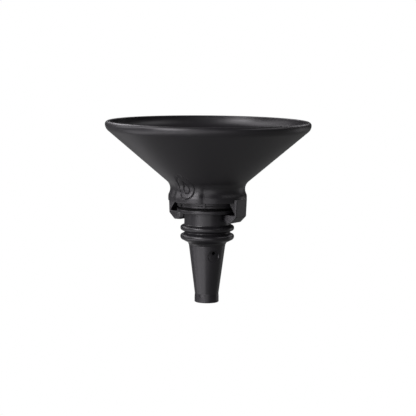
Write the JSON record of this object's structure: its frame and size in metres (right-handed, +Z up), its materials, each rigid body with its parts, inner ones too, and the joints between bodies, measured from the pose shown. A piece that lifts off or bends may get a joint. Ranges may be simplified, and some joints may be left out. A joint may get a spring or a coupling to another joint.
{
  "type": "canning funnel",
  "caption": "Wide bowl funnel that slides onto the flange of a narrow tapered spout with a ribbed bottle-neck seal.",
  "frame": {"origin": "on the spout's axis, half way between the two sealing ribs of the neck sleeve", "axes": "+Z up along the spout's axis towards the bowl's rim; -Y towards the open front of the channel, the side with the engraved badge; +X towards one claw"},
  "size_m": [0.13, 0.13, 0.1151],
  "materials": {
    "bowl_plastic": "satin moulded",
    "spout_plastic": "satin moulded",
    "sleeve_rubber": "smooth soft rubber",
    "gasket_rubber": "smooth soft rubber"
  },
  "bodies": {
    "spout": {"spout": "spout_plastic", "neck_sleeve": "sleeve_rubber"},
    "gasket": {"flange_gasket": "gasket_rubber"},
    "bowl": {"funnel_bowl": "bowl_plastic"}
  },
  "joints": [
    {"name": "bowl_turn", "type": "hinge", "parent": "spout", "child": "gasket", "pos_m": [0, 0, 0.01515], "axis": [0, 0, 1], "continuous": true},
    {"name": "bowl_slide", "type": "slide", "parent": "gasket", "child": "bowl", "axis": [0, 1, 0], "range_m": [0, 0.045]}
  ]
}
